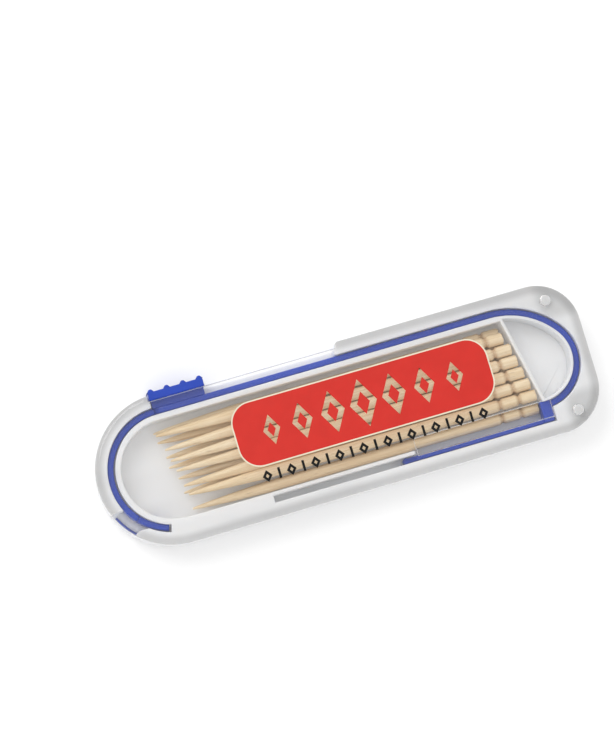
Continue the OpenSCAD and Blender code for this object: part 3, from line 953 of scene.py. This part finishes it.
def floor_finish(colour):
    """The floor's finish: plain and pale, and lit a little for the camera and in reflections."""
    own_light = 0.16
    material, tree, shader, _ = new_material("pale_floor")
    tone = ramp(tree, noise(tree, object_coordinates(tree), 6), 0.3, 0.7)
    tree.links.new(mix_colours(tree, tone, to_linear([c * 0.995 for c in colour]),
                               to_linear(colour)), shader.inputs["Base Color"])
    shader.inputs["Roughness"].default_value = 0.9
    shader.inputs["Specular IOR Level"].default_value = 0.1
    path = tree.nodes.new("ShaderNodeLightPath")
    seen = math_node(tree, "ADD", path.outputs["Is Camera Ray"], math_node(
        tree, "ADD", path.outputs["Is Glossy Ray"], path.outputs["Is Transmission Ray"]),
        clamp=True)
    shader.inputs["Emission Color"].default_value = (1, 1, 1, 1)
    tree.links.new(math_node(tree, "MULTIPLY", seen, own_light),
                   shader.inputs["Emission Strength"])
    return material


def aim_camera(scene, stage, centre):
    """Places the camera: it looks at the case leaning and turned by the stage's angles, from
    the distance at which the lens gives the stage's scale, and aims beside the centre so that
    the centre falls on its pixel."""
    towards = Vector((-math.tan(stage.lean_left), -math.tan(stage.lean_down), 1)).normalized()
    along = Vector((1, 0, 0))
    along = (along - along.dot(towards) * towards).normalized()
    across = towards.cross(along)
    c, s = math.cos(stage.roll), math.sin(stage.roll)
    right, up = c * along - s * across, s * along + c * across
    width, height = stage.picture
    offset = ((stage.centre_pixel[0] - width / 2) / stage.pixels_per_metre,
              (stage.centre_pixel[1] - height / 2) / stage.pixels_per_metre)
    aim = centre - offset[0] * right + offset[1] * up
    camera_data = bpy.data.cameras.new("camera")
    camera_data.lens = stage.lens
    camera_data.sensor_width = 36
    camera_data.clip_start = 0.01
    distance = height / stage.pixels_per_metre * stage.lens / camera_data.sensor_width
    camera = bpy.data.objects.new("camera", camera_data)
    turned = Matrix((right, up, towards)).transposed().to_4x4()
    camera.matrix_world = Matrix.Translation(aim + distance * towards) @ turned
    scene.collection.objects.link(camera)
    scene.camera = camera


def soft_lamp(name, size, power, away, target, distance):
    """A round area lamp that looks at the target from a direction, at a distance."""
    light = bpy.data.lights.new(name, "AREA")
    light.shape = "DISK"
    light.size = size
    light.energy = power
    lamp = bpy.data.objects.new(name, light)
    direction = Vector(away).normalized()
    lamp.matrix_world = (Matrix.Translation(target + distance * direction)
                         @ direction.to_track_quat("Z", "Y").to_matrix().to_4x4())
    bpy.context.scene.collection.objects.link(lamp)


def even_sky(scene, strength):
    """White light from all round."""
    world = bpy.data.worlds.new("even_sky")
    scene.world = world
    world.use_nodes = True
    background = world.node_tree.nodes["Background"]
    background.inputs["Color"].default_value = (1, 1, 1, 1)
    background.inputs["Strength"].default_value = strength


def lay_floor(scene, colour, z):
    """A flat square floor about the origin, at the height z."""
    reach = 3.0
    mesh = bpy.data.meshes.new("pale_floor")
    corners = [(-reach, -reach, z), (reach, -reach, z), (reach, reach, z), (-reach, reach, z)]
    mesh.from_pydata(corners, [], [(0, 1, 2, 3)])
    floor = bpy.data.objects.new("pale_floor", mesh)
    scene.collection.objects.link(floor)
    paint(floor, floor_finish(colour))


class DISPENSER_OT_set_stage(bpy.types.Operator):
    """Sets the camera, the lamps, the sky and the floor"""

    bl_idname = "dispenser.set_stage"
    bl_label = "Stage"

    def execute(self, context):
        scene = context.scene
        stage = scene.dispenser_stage
        low, high = (Vector(corner) for corner in cad_box)
        tray_low, tray_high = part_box("base_tray")
        centre = (tray_low + tray_high) / 2
        centre.z = (low.z + high.z) / 2
        aim_camera(scene, stage, centre)
        soft_lamp("key_lamp", size=0.45, power=stage.key_power, away=(-0.45, 0.75, 0.95),
                  target=centre, distance=0.6)
        soft_lamp("fill_lamp", size=0.6, power=stage.fill_power, away=(0.9, -0.45, 1.0),
                  target=centre, distance=0.8)
        even_sky(scene, stage.sky)
        lay_floor(scene, stage.floor, low.z)
        scene.view_settings.view_transform = "Standard"
        return {"FINISHED"}


# ---------------------------------------------------------------- add-on


class DISPENSER_PT_pieces(bpy.types.Panel):
    """Lists the dispenser's pieces in the sidebar"""

    bl_label = "Toothpick dispenser"
    bl_space_type = "VIEW_3D"
    bl_region_type = "UI"
    bl_category = "Dispenser"

    def draw(self, context):
        for operator in STEPS:
            self.layout.operator(operator.bl_idname)
        for group in ("dispenser_sizes", "dispenser_colours", "dispenser_stage"):
            settings = getattr(context.scene, group)
            box = self.layout.box()
            for key in settings.bl_rna.properties.keys():
                if key not in {"rna_type", "name"}:
                    box.prop(settings, key)


SETTINGS = (DispenserSizes, DispenserColours, DispenserStage)
STEPS = (
    DISPENSER_OT_set_stage,
    DISPENSER_OT_dress_tray,
    DISPENSER_OT_dress_cover,
    DISPENSER_OT_dress_print,
    DISPENSER_OT_form_strip_run,
    DISPENSER_OT_form_strip_tail,
    DISPENSER_OT_form_strip_feed,
    DISPENSER_OT_dress_button,
    DISPENSER_OT_turn_picks,
)
CLASSES = (*SETTINGS, *STEPS, DISPENSER_PT_pieces)


def register():
    """Registers the classes and hangs the settings on the scene."""
    for part in CLASSES:
        bpy.utils.register_class(part)
    bpy.types.Scene.dispenser_sizes = PointerProperty(type=DispenserSizes)
    bpy.types.Scene.dispenser_colours = PointerProperty(type=DispenserColours)
    bpy.types.Scene.dispenser_stage = PointerProperty(type=DispenserStage)


def unregister():
    """Takes the settings off the scene and unregisters the classes."""
    del bpy.types.Scene.dispenser_stage
    del bpy.types.Scene.dispenser_colours
    del bpy.types.Scene.dispenser_sizes
    for part in reversed(CLASSES):
        bpy.utils.unregister_class(part)


def main():
    """Makes every piece and the stage."""
    register()
    for step in STEPS:
        name = step.bl_idname.split(".")[1]
        getattr(bpy.ops.dispenser, name)()


if __name__ == "__main__":
    main()
